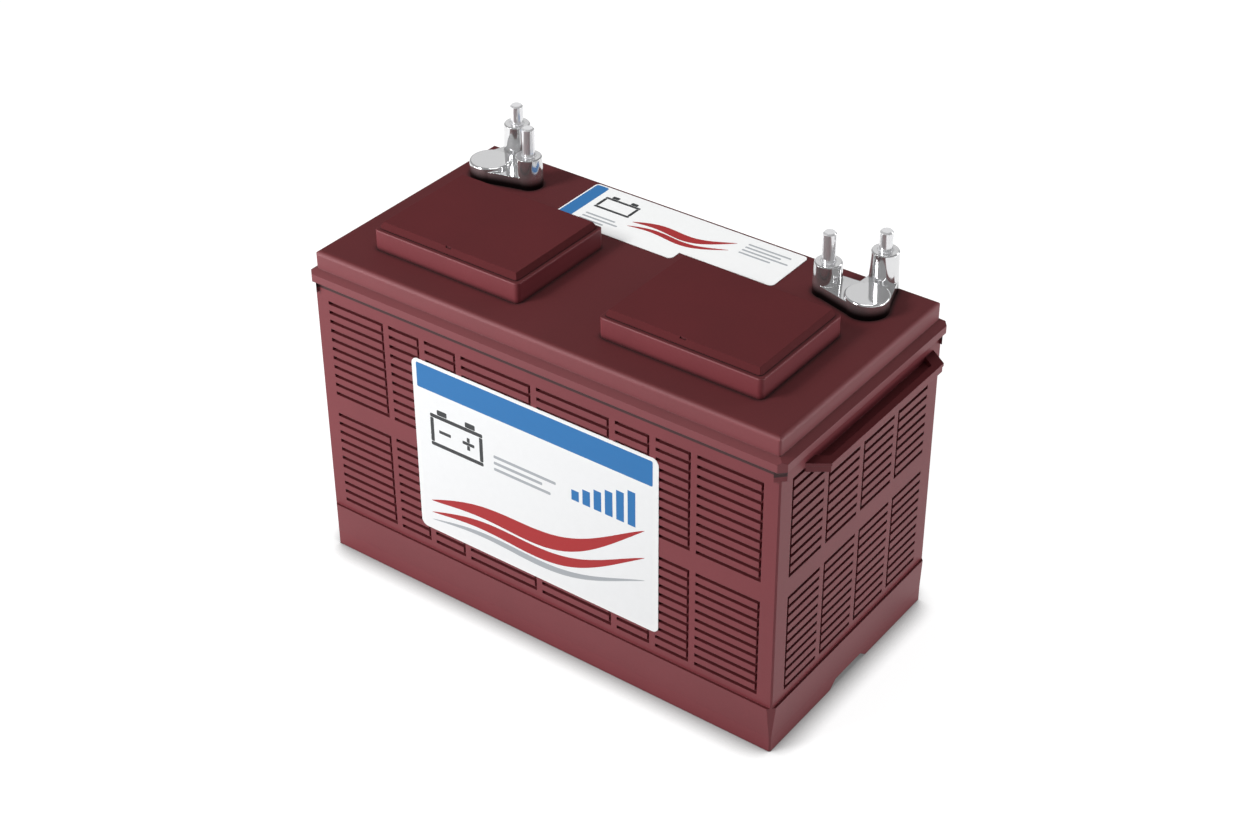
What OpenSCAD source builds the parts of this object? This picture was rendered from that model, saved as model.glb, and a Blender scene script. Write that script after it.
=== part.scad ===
// Flooded deep cycle battery with six cells, two gang vent caps and double-stud terminals.
// Millimetres. +X runs along the length, -Y is the label side, +Z is up.
// The origin is the middle of the underside.

/* [Container] */
// Length of the container over its end walls
wall_l = 331.6; // [310:0.2:350]
// Width of the container over its side walls
wall_w = 169.8; // [162:0.2:184]
// Height of the container up to its seam with the cover
container_h = 197.5; // [188:0.5:215]
// Thickness of the outer walls
wall_t = 4.2; // [3.4:0.1:4.6]
// Thickness of the floor
floor_t = 6; // [5.6:0.1:8]
// Thickness of the partitions between cells
partition_t = 2.4; // [1.8:0.1:2.8]
// Chamfer on the upright corners
wall_chamfer = 0.9; // [0.6:0.1:1.6]
// How far the slanted corner blocks under the seam stand out from the walls
corner_block_out = 2.2; // [1.4:0.1:2.6]
// Height of those corner blocks
corner_block_h = 6.5; // [4:0.5:9]
// Height of the ribs that the plates rest on
rest_rib_h = 12; // [8:0.5:14]
// Thickness of each rest rib
rest_rib_t = 3; // [2:0.1:4]
// Distance between neighbouring rest ribs
rest_rib_pitch = 42; // [34:1:46]

/* [Base band] */
// Height of the band round the foot
band_h = 32.5; // [24:0.5:36]
// How far the top of the band stands out from the walls
band_out = 1.5; // [1:0.1:2.5]
// How far the foot of the band lies inside the walls
band_foot_in = 0.7; // [0:0.1:1]
// Width of the relief under each end
relief_w = 40; // [24:1:60]
// Height of that relief
relief_h = 4.8; // [3:0.1:5]
// Depth of that relief, in from the wall
relief_d = 8; // [5:0.5:12]
// Slope of the relief's ends, measured along the width
relief_slope = 6; // [2:0.5:10]

/* [Wall slots] */
// Distance from one slot to the next in a column
slot_pitch = 6.5; // [6:0.02:7.4]
// Height of each slot
slot_h = 2.3; // [1.6:0.1:3.2]
// Depth of the slots and grooves
slot_d = 2.2; // [1:0.1:2.4]
// Width of the upright groove that joins the slots of a column at one end
groove_w = 1.5; // [0.8:0.1:2.4]
// Plain wall between the seam and the first slot
slot_top_gap = 11; // [8:0.5:12]
// Plain wall between the last slot and the base band, at least
slot_foot_gap = 2; // [1.5:0.1:5]
// Plain wall between the upper and the lower panel of slots
panel_gap = 13.6; // [8:0.1:16]
// Width of the pillars between columns
pillar_w = 4.2; // [3:0.1:6]
// Plain wall at the ends of the long sides
side_margin = 10.2; // [8:0.2:14]
// Plain wall at the edges of the short ends
end_margin = 12.2; // [8:0.2:14]
// Number of columns on a short end
end_columns = 4; // [3:1:5]

/* [Lifting ledges] */
// How far each ledge stands out from the end wall
ledge_out = 11.7; // [9:0.1:15]
// Thickness of the ledge
ledge_h = 6; // [5:0.5:8]
// Distance from the seam down to the top of the ledge
ledge_drop = 8; // [4.5:0.1:9]
// Reach of the ledge's root towards the front
ledge_front = 61; // [50:1:64]
// Reach of the ledge's root towards the back
ledge_back = 76; // [60:1:79]
// Slope of the ledge's ends, measured along the width
ledge_slope = 8.5; // [5:0.5:14]
// Width of the flat edge between the ledge's outer face and the trough in its top
ledge_edge = 4.6; // [3:0.2:6]
// Length of the flat edge between the ledge's ends and that trough
ledge_end_edge = 9.5; // [4:0.5:12]
// Depth of that trough
trough_d = 2.6; // [1:0.1:3]
// Height of the lip along the ledge's outer face
ledge_lip_h = 2; // [1.2:0.1:3]
// How far the lip stands out from the ledge below it
ledge_lip = 0.6; // [0.3:0.1:1.2]

/* [Cover] */
// Height of the cover above the seam, to its flat top
cover_h = 20.5; // [20:0.5:28]
// How far the rim stands out from the container's end walls
rim_end_out = 3.3; // [2.6:0.1:4]
// How far the rim stands out from the container's side walls
rim_side_out = 2.7; // [2.6:0.1:4]
// Height of the rim's upright face
rim_h = 5.8; // [4.5:0.1:8]
// Chamfer on the rim's corners
rim_chamfer = 4; // [2:0.1:5]
// Relief under the rim's edge, along the seam
seam_relief = 0.8; // [0.4:0.1:1.2]
// Height of the sloped shoulder above the rim
shoulder_h = 3; // [2.4:0.1:6]
// How far the shoulder leans in at the ends
shoulder_end_in = 4.9; // [4:0.1:5.2]
// How far the shoulder leans in at the sides
shoulder_side_in = 3.8; // [3:0.1:4.6]
// Radius along the cover's top edges
cover_edge_r = 3; // [1:0.1:3.4]
// Radius on the cover's upright corners
cover_corner_r = 1.6; // [0.8:0.1:3]
// Thickness of the cover's roof
roof_t = 3.4; // [2.6:0.1:4.4]

/* [Vent blocks] */
// Length of each raised vent block
block_l = 108.4; // [107:0.2:112]
// Width of each vent block
block_w = 81; // [70:0.5:90]
// Height of each vent block above the cover
block_h = 13.3; // [10:0.1:18]
// How far each block's middle lies outward of its middle cell
block_outward = 1.4; // [0:0.1:2.4]
// Distance of each block's middle in front of the battery's middle
block_front = 20.5; // [14:0.5:26]
// Radius on the block's upright corners
block_corner_r = 3; // [1:0.1:4]
// Radius along the block's top edges
block_edge_r = 0.8; // [0.4:0.1:1.5]
// Thickness of the block's walls
block_t = 3; // [2.2:0.1:3.6]
// Radius of the filling wells
well_r = 8.7; // [8:0.1:9.2]
// Thickness of a well's wall
well_t = 2; // [1.5:0.1:2.2]
// Distance from a block's end to the wall of the nearest well
well_edge = 1.5; // [1:0.1:2.4]
// Height of the wells' feet above the seam
well_rise = 0.8; // [0.4:0.1:8]

/* [Vent caps] */
// Plain edge of the vent block left round the lid
lid_in = 2.4; // [1.5:0.1:4]
// Height of the lid
lid_h = 3.9; // [3.2:0.1:5]
// How far the lid's edges lean in
lid_bevel = 2; // [1:0.1:2.6]
// Thickness of the lid's top
lid_skin = 1.6; // [1.2:0.1:2]
// Thickness of the lid's wall at its foot
lid_wall = 3; // [2.8:0.1:4]
// Radius on the lid's corners
lid_corner_r = 2; // [0.8:0.1:3]
// Width of the notch for prising the lid up
notch_w = 4; // [3:0.5:8]
// Depth of that notch
notch_d = 1; // [0.6:0.1:1.4]
// Thickness of the plate that carries the bungs
plug_t = 1.5; // [1.2:0.1:1.5]
// Length of each bung below its plate
bung_l = 19; // [16:0.5:24]
// Thickness of a bung's wall behind its seal
bung_t = 1; // [0.8:0.1:1.6]
// Distance from the plate down to the middle of the seal
seal_drop = 7; // [6:0.5:10]
// Radius of the seal's round section
seal_r = 0.8; // [0.6:0.1:1.1]
// Thickness of the flame arrestor disc in each bung
arrestor_t = 3; // [2:0.5:5]
// Thickness of the splash baffle in each bung
baffle_t = 2.5; // [2:0.1:4]
// Radius of the drain hole in a baffle
drain_r = 1.8; // [1:0.1:2.5]

/* [Terminals] */
// Distance from the left end of the cover to the negative post
negative_inset = 23.8; // [22:0.2:32]
// Distance from the right end of the cover to the positive post
positive_inset = 30.2; // [22:0.2:34]
// Distance from the back of the cover to both posts
post_inset = 32.2; // [32.2:0.2:36]
// Radius of the disc over the post
disc_r = 13.3; // [11.5:0.1:14.5]
// Height of the disc
disc_h = 10.3; // [9:0.1:13]
// Radius along the disc's top edge
disc_edge_r = 1.2; // [0.4:0.1:2]
// Distance from the disc to the inner stud post, along the length
inner_arm_x = 28.3; // [26:0.1:31]
// Distance from the disc to the inner stud post, towards the back
inner_arm_y = 3.1; // [0:0.1:5]
// Distance from the disc to the rear stud post, along the length
rear_arm_x = 3.1; // [0:0.1:5]
// Distance from the disc to the rear stud post, towards the back
rear_arm_y = 23.4; // [22.4:0.1:23.4]
// Height of the web that joins disc and posts
web_h = 8; // [5:0.1:8.5]
// How far the web's sides lie inside the outlines of disc and posts
web_in = 0.4; // [0.2:0.1:1.5]
// Radius of a stud post at its foot
post_foot_r = 8.8; // [8.4:0.1:8.8]
// Radius of a stud post at its shoulder
post_top_r = 8.2; // [7:0.1:8.4]
// Height of the inner stud post's shoulder
inner_post_h = 20.3; // [16:0.1:22]
// Height of the rear stud post's shoulder
rear_post_h = 26.8; // [22:0.1:28]
// Chamfer on the shoulders
shoulder_chamfer = 0.6; // [0.3:0.1:1]
// Diameter of the studs
stud_d = 7.94; // [6:0.01:9.6]
// Height of the studs' tips above the cover
stud_top = 39.4; // [34:0.1:44]
// Diameter of the thicker root that holds each stud in its post
stud_root_d = 9.2; // [8.2:0.1:10]
// Length of that root
stud_hold = 11; // [6:0.5:12]
// Chamfer on the studs' tips
stud_chamfer = 0.9; // [0.4:0.1:1.5]

/* [Posts and bushings] */
// Radius of the lead posts that rise from the end straps
lead_post_r = 7; // [6:0.1:7.6]
// Radius of the bushings set in the cover
bushing_r = 10.5; // [9.4:0.1:11]
// Radius of a bushing's flange under the roof
flange_r = 13; // [12:0.1:14]
// Thickness of that flange
flange_t = 2.8; // [2:0.1:4]

/* [Plates] */
// Room left for the row of plates along each cell, at least
stack_room = 1; // [0.6:0.1:3]
// Thickness of a positive plate
positive_t = 2.4; // [1.6:0.1:3.2]
// Thickness of a negative plate
negative_t = 1.8; // [1.4:0.1:2.6]
// Thickness of a separator sheet
separator_t = 1.3; // [0.9:0.05:1.8]
// Distance from the plates' upper edge to the seam
head_room = 44.5; // [44.5:0.5:64]
// Distance from the separators' edges to the side walls
sheet_room = 2.7; // [1:0.1:8]
// How far the separators stand past the plates' edges
separator_past = 3; // [1:0.5:4]
// How far the separators stand above the plates
separator_rise = 8; // [4:0.5:10]
// Width of a plate's lug
lug_w = 12; // [8:0.5:16]
// Height of a plate's lug
lug_h = 18; // [14:0.5:20]
// Width of the straps
strap_w = 18; // [16:0.5:22]
// Height of the straps
strap_h = 8; // [5:0.5:9]
// Thickness of the straps' upright tabs
tab_t = 4; // [3:0.1:5]
// Height of the tabs, from the foot of the strap
tab_h = 24; // [23:0.5:25]
// Radius of the welds that pass through the partitions
weld_r = 5.8; // [4.5:0.1:6]
// Height of the weld's middle above the foot of the strap
weld_rise = 15; // [14.6:0.1:16]

/* [Labels] */
// Width of the front label
front_label_w = 178.6; // [120:0.2:220]
// Height of the front label
front_label_h = 123.2; // [80:0.2:130]
// Height of the front label's lower edge above the ground
front_label_z = 49; // [40:0.5:60]
// Distance of the front label's middle to the left of the battery's middle
front_label_left = 2; // [0:0.5:10]
// Radius on the front label's corners
front_label_r = 4.5; // [2:0.5:10]
// Length of the top label
top_label_l = 155.4; // [100:0.2:170]
// Distance of the top label's middle to the left of the battery's middle
top_label_left = 0.3; // [0:0.1:6]
// Width of the top label at its right part
top_label_w = 39.6; // [28:0.2:42]
// Extra width of the top label's left part
top_label_step = 8.8; // [2:0.2:9]
// Share of the top label's length that has the extra width
top_label_share = 0.58; // [0.3:0.01:0.7]
// Distance from the top label to the back edge of the cover
top_label_back = 3.8; // [3:0.2:8]
// Radius on the top label's corners
top_label_r = 3; // [1:0.5:5]
// Thickness of the labels
label_t = 0.3; // [0.2:0.05:0.6]

/* [Fits] */
// Clearance between pieces that move past each other
move_gap = 0.3; // [0.2:0.05:0.5]
// Clearance between fixed pieces that fit together
fit_gap = 0.1; // [0.05:0.01:0.2]
// Clearance between a stud's root and its hole
stud_gap = 0.03; // [0.01:0.01:0.06]
// Clearance between neighbouring plates and separators
stack_gap = 0.03; // [0.01:0.01:0.04]

/* [Hidden] */
$fn = 64;

CELLS = 6;
CAP_KINDS = [
    "vent_block", "filling_wells", "cap_lid", "cap_plug", "cap_seals", "cap_arrestors", "cap_baffles"];
CELL_KINDS = ["positive_plates", "negative_plates", "separators", "positive_strap", "negative_strap"];

MAROON = [0.43, 0.20, 0.22];
MAROON_TOP = [0.38, 0.17, 0.19];
TINNED = [0.86, 0.86, 0.87];
LEAD = [0.45, 0.47, 0.50];
OXIDE = [0.33, 0.24, 0.20];
SHEET = [0.20, 0.20, 0.21];
RUBBER = [0.09, 0.09, 0.09];
LABEL_WHITE = [0.93, 0.94, 0.94];

// Small length by which cutting shapes pass the faces that they cut
past = 1;

// Inside of the container
cell_l = (wall_l - 2 * wall_t - (CELLS - 1) * partition_t) / CELLS;
cell_w = wall_w - 2 * wall_t;
cell_pitch = cell_l + partition_t;
plate_z = floor_t + rest_rib_h;
plate_h = container_h - plate_z - head_room;
sheet_w = cell_w - 2 * sheet_room;
plate_w = sheet_w - 2 * separator_past;
strap_z = plate_z + plate_h + lug_h;
weld_z = strap_z + weld_rise;

// Levels of the cover
rim_l = wall_l + 2 * rim_end_out;
rim_w = wall_w + 2 * rim_side_out;
rim_top = container_h + rim_h;
shoulder_top = rim_top + shoulder_h;
cover_top = container_h + cover_h;
crown_l = rim_l - 2 * shoulder_end_in;
crown_w = rim_w - 2 * shoulder_side_in;
roof_z = cover_top - roof_t;
block_top = cover_top + block_h;
block_roof = block_top - roof_t;
well_foot = container_h + well_rise;
block_x = CELLS / 4 * cell_pitch + block_outward;
well_pitch = block_l / 2 - well_edge - well_t - well_r;

// Levels and sizes of the vent caps
lid_z = block_top + move_gap;
lid_l = block_l - 2 * lid_in;
lid_w = block_w - 2 * lid_in;
plug_l = lid_l - 2 * lid_wall - 2 * fit_gap;
plug_w = lid_w - 2 * lid_wall - 2 * fit_gap;
plug_foot = lid_z + lid_h - lid_skin - fit_gap - plug_t;
bung_foot = plug_foot - bung_l;
bung_r = well_r - move_gap;
groove_r = well_r - fit_gap - 2 * seal_r;
bung_bore = groove_r - bung_t;
insert_r = bung_bore - fit_gap;

// Places of the two posts
negative_x = -crown_l / 2 + negative_inset;
positive_x = crown_l / 2 - positive_inset;
post_y = crown_w / 2 - post_inset;

// Row of plates, as many as a cell holds
stack_pitch = positive_t + negative_t + 2 * separator_t + 4 * stack_gap;
positive_count = floor((cell_l - stack_room - negative_t) / stack_pitch);
negative_count = positive_count + 1;
stack_l = positive_count * stack_pitch + negative_t;

// Rows and columns of wall slots
slot_zone = container_h - slot_top_gap - band_h - slot_foot_gap;
slot_web = slot_pitch - slot_h;
slot_rows = floor((slot_zone - panel_gap + 2 * slot_web) / (2 * slot_pitch));
panel_h = slot_rows * slot_pitch - slot_web;
panel_step = panel_h + panel_gap;
side_edges = [-1 / 2, -1 / 3, -1 / 4, -1 / 6, 0, 1 / 6, 1 / 4, 1 / 3, 1 / 2] * wall_l;
end_span = wall_w - 2 * end_margin + pillar_w;
end_edges = [for (i = [0 : end_columns]) (i / end_columns - 1 / 2) * end_span];

function cell_x(k) = (k - (CELLS + 1) / 2) * cell_pitch;

// Front is -1 and back is 1. Neighbouring cells are turned, so that each positive strap faces
// the next cell's negative strap.
function negative_side(k) = k % 2 == 1 ? 1 : -1;

// Corner points of the tangent strip between two round ends
function tangent_strip(p, r, q, s) = let (
    d = q - p,
    along = atan2(d.y, d.x),
    lean = acos((r - s) / norm(d)))
    [for (end = [[p, r, 1], [q, s, 1], [q, s, -1], [p, r, -1]])
        end[0] + end[1] * [cos(along + end[2] * lean), sin(along + end[2] * lean)]];

module rounded_rect(l, w, r) {
    square([l - 2 * r, w], center = true);
    square([l, w - 2 * r], center = true);
    for (x = [-1, 1], y = [-1, 1])
        translate([x * (l / 2 - r), y * (w / 2 - r)]) circle(r);
}

module chamfered_rect(l, w, c) {
    polygon([
        [-l / 2 + c, -w / 2], [l / 2 - c, -w / 2], [l / 2, -w / 2 + c], [l / 2, w / 2 - c],
        [l / 2 - c, w / 2], [-l / 2 + c, w / 2], [-l / 2, w / 2 - c], [-l / 2, -w / 2 + c]]);
}

// Extrusion along X of an outline in Y and Z
module along_x(length) {
    rotate([90, 0, 90]) linear_extrude(length, center = true) children();
}

// Extrusion along Y of an outline in X and Z
module along_y(length) {
    rotate([90, 0, 0]) linear_extrude(length, center = true) children();
}

module trapezoid(foot, top, h) {
    polygon([[-foot / 2, 0], [foot / 2, 0], [top / 2, h], [-top / 2, h]]);
}

// Block whose ends and sides lean in towards its top
module leaning_block(l, w, end_lean, side_lean, h) {
    reach = l + w;
    intersection() {
        along_x(reach) trapezoid(w, w - 2 * side_lean, h);
        along_y(reach) trapezoid(l, l - 2 * end_lean, h);
    }
}

module round_top_outline(l, h, r) {
    translate([-l / 2, 0]) square([l, h - r]);
    translate([-l / 2 + r, 0]) square([l - 2 * r, h]);
    for (x = [-1, 1]) translate([x * (l / 2 - r), h - r]) circle(r);
}

// Block with rounded upright corners and rounded top edges
module soft_block(l, w, h, corner_r, edge_r) {
    reach = l + w;
    intersection() {
        linear_extrude(h) rounded_rect(l, w, corner_r);
        along_x(reach) round_top_outline(w, h, edge_r);
        along_y(reach) round_top_outline(l, h, edge_r);
    }
}

// One column of slots in both panels, cut into a wall at y = 0 that faces -Y, with its upright groove at
// groove_x
module slot_column(x0, x1, groove_x) {
    for (panel = [0, 1])
        translate([0, (slot_d - past) / 2, container_h - slot_top_gap - panel * panel_step])
            along_y(slot_d + past) {
                translate([groove_x, -panel_h]) square([groove_w, panel_h]);
                for (i = [0 : slot_rows - 1])
                    translate([x0, -slot_h - i * slot_pitch]) square([x1 - x0, slot_h]);
            }
}

module side_slots() {
    last = len(side_edges) - 2;
    for (i = [0 : last]) {
        x0 = side_edges[i] + (i == 0 ? side_margin : pillar_w / 2);
        x1 = side_edges[i + 1] - (i == last ? side_margin : pillar_w / 2);
        slot_column(x0, x1, x1 - groove_w);
    }
}

module end_slots() {
    for (i = [0 : end_columns - 1]) {
        x0 = end_edges[i] + pillar_w / 2;
        slot_column(x0, end_edges[i + 1] - pillar_w / 2, x0);
    }
}

module wall_slots() {
    for (turn = [0, 180]) {
        rotate(turn) translate([0, -wall_w / 2, 0]) side_slots();
        rotate(turn + 90) translate([0, -wall_l / 2, 0]) end_slots();
    }
}

module base_band() {
    band_lean = band_out + band_foot_in;
    intersection() {
        linear_extrude(band_h)
            chamfered_rect(wall_l + 2 * band_out, wall_w + 2 * band_out, wall_chamfer + 2 * band_out);
        leaning_block(wall_l - 2 * band_foot_in, wall_w - 2 * band_foot_in, -band_lean, -band_lean, band_h);
    }
}

// Outline of the right end's ledge from root to tip, drawn in by edge at its slanted ends
module ledge_outline(root, tip, edge) {
    lean = ledge_slope * (tip - wall_l / 2) / ledge_out;
    front = -ledge_front + edge;
    back = ledge_back - edge;
    polygon([
        [root, front], [wall_l / 2, front], [tip, front + lean],
        [tip, back - lean], [wall_l / 2, back], [root, back]]);
}

// Ledge on the right end, rooted as deep as the slots behind it
module lifting_ledge() {
    root = wall_l / 2 - slot_d;
    tip = wall_l / 2 + ledge_out;
    top = container_h - ledge_drop;
    difference() {
        union() {
            translate([0, 0, top - ledge_h])
                linear_extrude(ledge_h) ledge_outline(root, tip - ledge_lip, ledge_lip);
            translate([0, 0, top - ledge_lip_h]) linear_extrude(ledge_lip_h) ledge_outline(root, tip, 0);
        }
        translate([0, 0, top - trough_d])
            linear_extrude(trough_d + past) ledge_outline(wall_l / 2, tip - ledge_edge, ledge_end_edge);
    }
}

module end_relief() {
    translate([wall_l / 2 - relief_d + (relief_d + band_out + past) / 2, 0, 0])
        along_x(relief_d + band_out + past)
            translate([0, -past])
                trapezoid(relief_w + 2 * relief_slope * past / relief_h,
                    relief_w - 2 * relief_slope, relief_h + past);
}

// Slanted blocks under the rim's corners, flush with the chamfers of the upright corners
module corner_blocks() {
    leg = wall_chamfer + corner_block_out;
    outline = [[-leg, corner_block_out], [corner_block_out, -leg], [-past, -leg], [-leg, -past]];
    translate([0, 0, container_h - corner_block_h])
        linear_extrude(corner_block_h)
            for (x = [-1, 1], y = [-1, 1])
                polygon([for (p = outline) [x * (wall_l / 2 + p.x), y * (wall_w / 2 + p.y)]]);
}

module cell_spaces(z0, z1) {
    for (k = [1 : CELLS])
        translate([cell_x(k) - cell_l / 2, -cell_w / 2, z0]) cube([cell_l, cell_w, z1 - z0]);
}

module weld_holes() {
    for (k = [1 : CELLS - 1])
        translate([cell_x(k) + cell_pitch / 2, -negative_side(k) * post_y, weld_z])
            rotate([0, 90, 0]) cylinder(r = weld_r + fit_gap, h = partition_t + 2 * past, center = true);
}

module rest_ribs() {
    for (k = [1 : CELLS], i = [-1.5 : 1.5])
        translate([cell_x(k), i * rest_rib_pitch, floor_t + rest_rib_h / 2])
            cube([cell_l, rest_rib_t, rest_rib_h], center = true);
}

module container() {
    color(MAROON) {
        difference() {
            union() {
                difference() {
                    linear_extrude(container_h) chamfered_rect(wall_l, wall_w, wall_chamfer);
                    wall_slots();
                }
                base_band();
                corner_blocks();
                lifting_ledge();
                mirror([1, 0, 0]) lifting_ledge();
            }
            cell_spaces(floor_t, container_h + past);
            weld_holes();
            end_relief();
            mirror([1, 0, 0]) end_relief();
        }
        rest_ribs();
    }
}

module at_wells(side) {
    for (i = [-1, 0, 1])
        translate([side * block_x + i * well_pitch, -block_front, 0]) children();
}

module cover_rim() {
    translate([0, 0, container_h])
        intersection() {
            linear_extrude(cover_h) chamfered_rect(rim_l, rim_w, rim_chamfer);
            union() {
                leaning_block(rim_l - 2 * seam_relief, rim_w - 2 * seam_relief,
                    -seam_relief, -seam_relief, seam_relief);
                translate([0, 0, seam_relief])
                    linear_extrude(rim_h - seam_relief) square([rim_l, rim_w], center = true);
                translate([0, 0, rim_h])
                    leaning_block(rim_l, rim_w, shoulder_end_in, shoulder_side_in, shoulder_h);
            }
        }
}

// Space inside one vent block between two levels, divided by the partitions
module block_space(side, z0, z1) {
    intersection() {
        cell_spaces(z0, z1);
        translate([side * block_x, -block_front, z0])
            linear_extrude(z1 - z0)
                square([block_l - 2 * block_t, block_w - 2 * block_t], center = true);
    }
}

module cover() {
    color(MAROON_TOP)
        difference() {
            union() {
                cover_rim();
                translate([0, 0, rim_top])
                    soft_block(crown_l, crown_w, cover_h - rim_h, cover_corner_r, cover_edge_r);
            }
            cell_spaces(container_h - past, roof_z);
            for (side = [-1, 1]) {
                block_space(side, roof_z - past, cover_top + past);
                at_wells(side)
                    translate([0, 0, roof_z - past])
                        cylinder(r = well_r + well_t + fit_gap, h = roof_t + 2 * past);
            }
            for (x = [negative_x, positive_x])
                translate([x, post_y, roof_z - past])
                    cylinder(r = bushing_r + fit_gap, h = roof_t + 2 * past);
        }
}

// Raised block over three cells, with the mouths of their filling wells
module vent_block(side) {
    color(MAROON_TOP)
        difference() {
            translate([side * block_x, -block_front, cover_top])
                soft_block(block_l, block_w, block_h, block_corner_r, block_edge_r);
            block_space(side, cover_top - past, block_roof);
            at_wells(side) {
                translate([0, 0, cover_top - past])
                    cylinder(r = well_r + well_t + fit_gap, h = block_roof - cover_top + past);
                translate([0, 0, cover_top]) cylinder(r = well_r, h = block_h + past);
            }
        }
}

// Tubes that lead from the mouths in one vent block down to its three cells
module filling_wells(side) {
    color(MAROON_TOP)
        at_wells(side)
            translate([0, 0, well_foot])
                difference() {
                    cylinder(r = well_r + well_t, h = block_roof - well_foot);
                    translate([0, 0, -past]) cylinder(r = well_r, h = block_roof - well_foot + 2 * past);
                }
}

// Lid with a notch for prising it up, hollowed over the plug and its bungs
module cap_lid(side) {
    notch_floor = lid_h - notch_d;
    color(MAROON_TOP)
        difference() {
            translate([side * block_x, -block_front, lid_z])
                difference() {
                    intersection() {
                        leaning_block(lid_l, lid_w, lid_bevel, lid_bevel, lid_h);
                        linear_extrude(lid_h) rounded_rect(lid_l, lid_w, lid_corner_r);
                    }
                    translate([0, 0, -past])
                        linear_extrude(lid_h - lid_skin + past)
                            square([lid_l - 2 * lid_wall, lid_w - 2 * lid_wall], center = true);
                    translate([-notch_w / 2, -lid_w / 2, notch_floor])
                        cube([notch_w, lid_bevel + notch_d / 2, notch_d + past]);
                }
            at_wells(side)
                translate([0, 0, plug_foot + fit_gap - lid_h])
                    cylinder(r = bung_r + fit_gap, h = lid_h);
        }
}

module cap_plug(side) {
    color(MAROON)
        difference() {
            union() {
                translate([side * block_x, -block_front, plug_foot])
                    linear_extrude(plug_t) square([plug_l, plug_w], center = true);
                at_wells(side)
                    translate([0, 0, bung_foot]) cylinder(r = bung_r, h = bung_l);
            }
            at_wells(side)
                translate([0, 0, bung_foot - past]) cylinder(r = bung_bore, h = bung_l + past);
            at_wells(side)
                translate([0, 0, plug_foot - seal_drop - seal_r])
                    rotate_extrude()
                        translate([groove_r, 0]) square([bung_r - groove_r + past, 2 * seal_r]);
        }
}

module cap_seals(side) {
    color(RUBBER)
        at_wells(side)
            translate([0, 0, plug_foot - seal_drop])
                rotate_extrude() translate([groove_r + seal_r, 0]) circle(seal_r);
}

module cap_arrestors(side) {
    color(LABEL_WHITE)
        at_wells(side)
            translate([0, 0, plug_foot - arrestor_t]) cylinder(r = insert_r, h = arrestor_t);
}

module cap_baffles(side) {
    color(SHEET)
        at_wells(side)
            translate([0, 0, bung_foot])
                difference() {
                    cylinder(r = insert_r, h = baffle_t);
                    translate([0, 0, -past]) cylinder(r = drain_r, h = baffle_t + 2 * past);
                }
}

// Round post from the cover up to its shoulder
module stud_post(h) {
    rotate_extrude()
        polygon([
            [0, 0], [post_foot_r, 0], [post_foot_r, web_h],
            [post_top_r, h - shoulder_chamfer], [post_top_r - shoulder_chamfer, h], [0, h]]);
}

module stud_hole(h) {
    translate([0, 0, h - stud_hold]) cylinder(d = stud_root_d + 2 * stud_gap, h = stud_hold + past);
}

// Casting with a disc over the lead post and two stud posts. inward is 1 where the battery's
// middle lies towards +X.
module terminal(x, inward) {
    inner = [inward * inner_arm_x, inner_arm_y];
    rear = [inward * rear_arm_x, rear_arm_y];
    color(TINNED)
        translate([x, post_y, cover_top])
            difference() {
                union() {
                    rotate_extrude() {
                        square([disc_r - disc_edge_r, disc_h]);
                        square([disc_r, disc_h - disc_edge_r]);
                        translate([disc_r - disc_edge_r, disc_h - disc_edge_r]) circle(disc_edge_r);
                    }
                    for (end = [inner, rear])
                        linear_extrude(web_h)
                            polygon(tangent_strip([0, 0], disc_r - web_in, end, post_foot_r - web_in));
                    translate(inner) stud_post(inner_post_h);
                    translate(rear) stud_post(rear_post_h);
                }
                translate(inner) stud_hole(inner_post_h);
                translate(rear) stud_hole(rear_post_h);
            }
}

module stud(x, arm_x, arm_y, shoulder) {
    free_l = stud_top - shoulder;
    color(TINNED)
        translate([x + arm_x, post_y + arm_y, cover_top + shoulder]) {
            translate([0, 0, -stud_hold]) cylinder(d = stud_root_d, h = stud_hold);
            cylinder(d = stud_d, h = free_l - stud_chamfer);
            translate([0, 0, free_l - stud_chamfer])
                cylinder(d1 = stud_d, d2 = stud_d - 2 * stud_chamfer, h = stud_chamfer);
        }
}

module inner_stud(x, inward) {
    stud(x, inward * inner_arm_x, inner_arm_y, inner_post_h);
}

module rear_stud(x, inward) {
    stud(x, inward * rear_arm_x, rear_arm_y, rear_post_h);
}

module bushing(x) {
    color(LEAD)
        translate([x, post_y, 0])
            difference() {
                union() {
                    translate([0, 0, roof_z - flange_t]) cylinder(r = bushing_r, h = roof_t + flange_t);
                    translate([0, 0, roof_z - flange_t]) cylinder(r = flange_r, h = flange_t);
                }
                translate([0, 0, roof_z - flange_t - past])
                    cylinder(r = lead_post_r + fit_gap, h = roof_t + flange_t + 2 * past);
            }
}

module post(x) {
    color(LEAD)
        translate([x, post_y, strap_z + strap_h])
            cylinder(r = lead_post_r, h = cover_top - strap_z - strap_h);
}

// Row of plates through one cell, each with its lug
module plates(k, count, t, first, lug_side) {
    for (i = [0 : count - 1])
        translate([cell_x(k) - stack_l / 2 + first + i * stack_pitch, 0, plate_z]) {
            translate([0, -plate_w / 2, 0]) cube([t, plate_w, plate_h]);
            translate([0, lug_side * post_y - lug_w / 2, 0]) cube([t, lug_w, plate_h + lug_h]);
        }
}

module positive_plates(k) {
    first = negative_t + separator_t + 2 * stack_gap;
    color(OXIDE) plates(k, positive_count, positive_t, first, -negative_side(k));
}

module negative_plates(k) {
    color(LEAD) plates(k, negative_count, negative_t, 0, negative_side(k));
}

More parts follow.
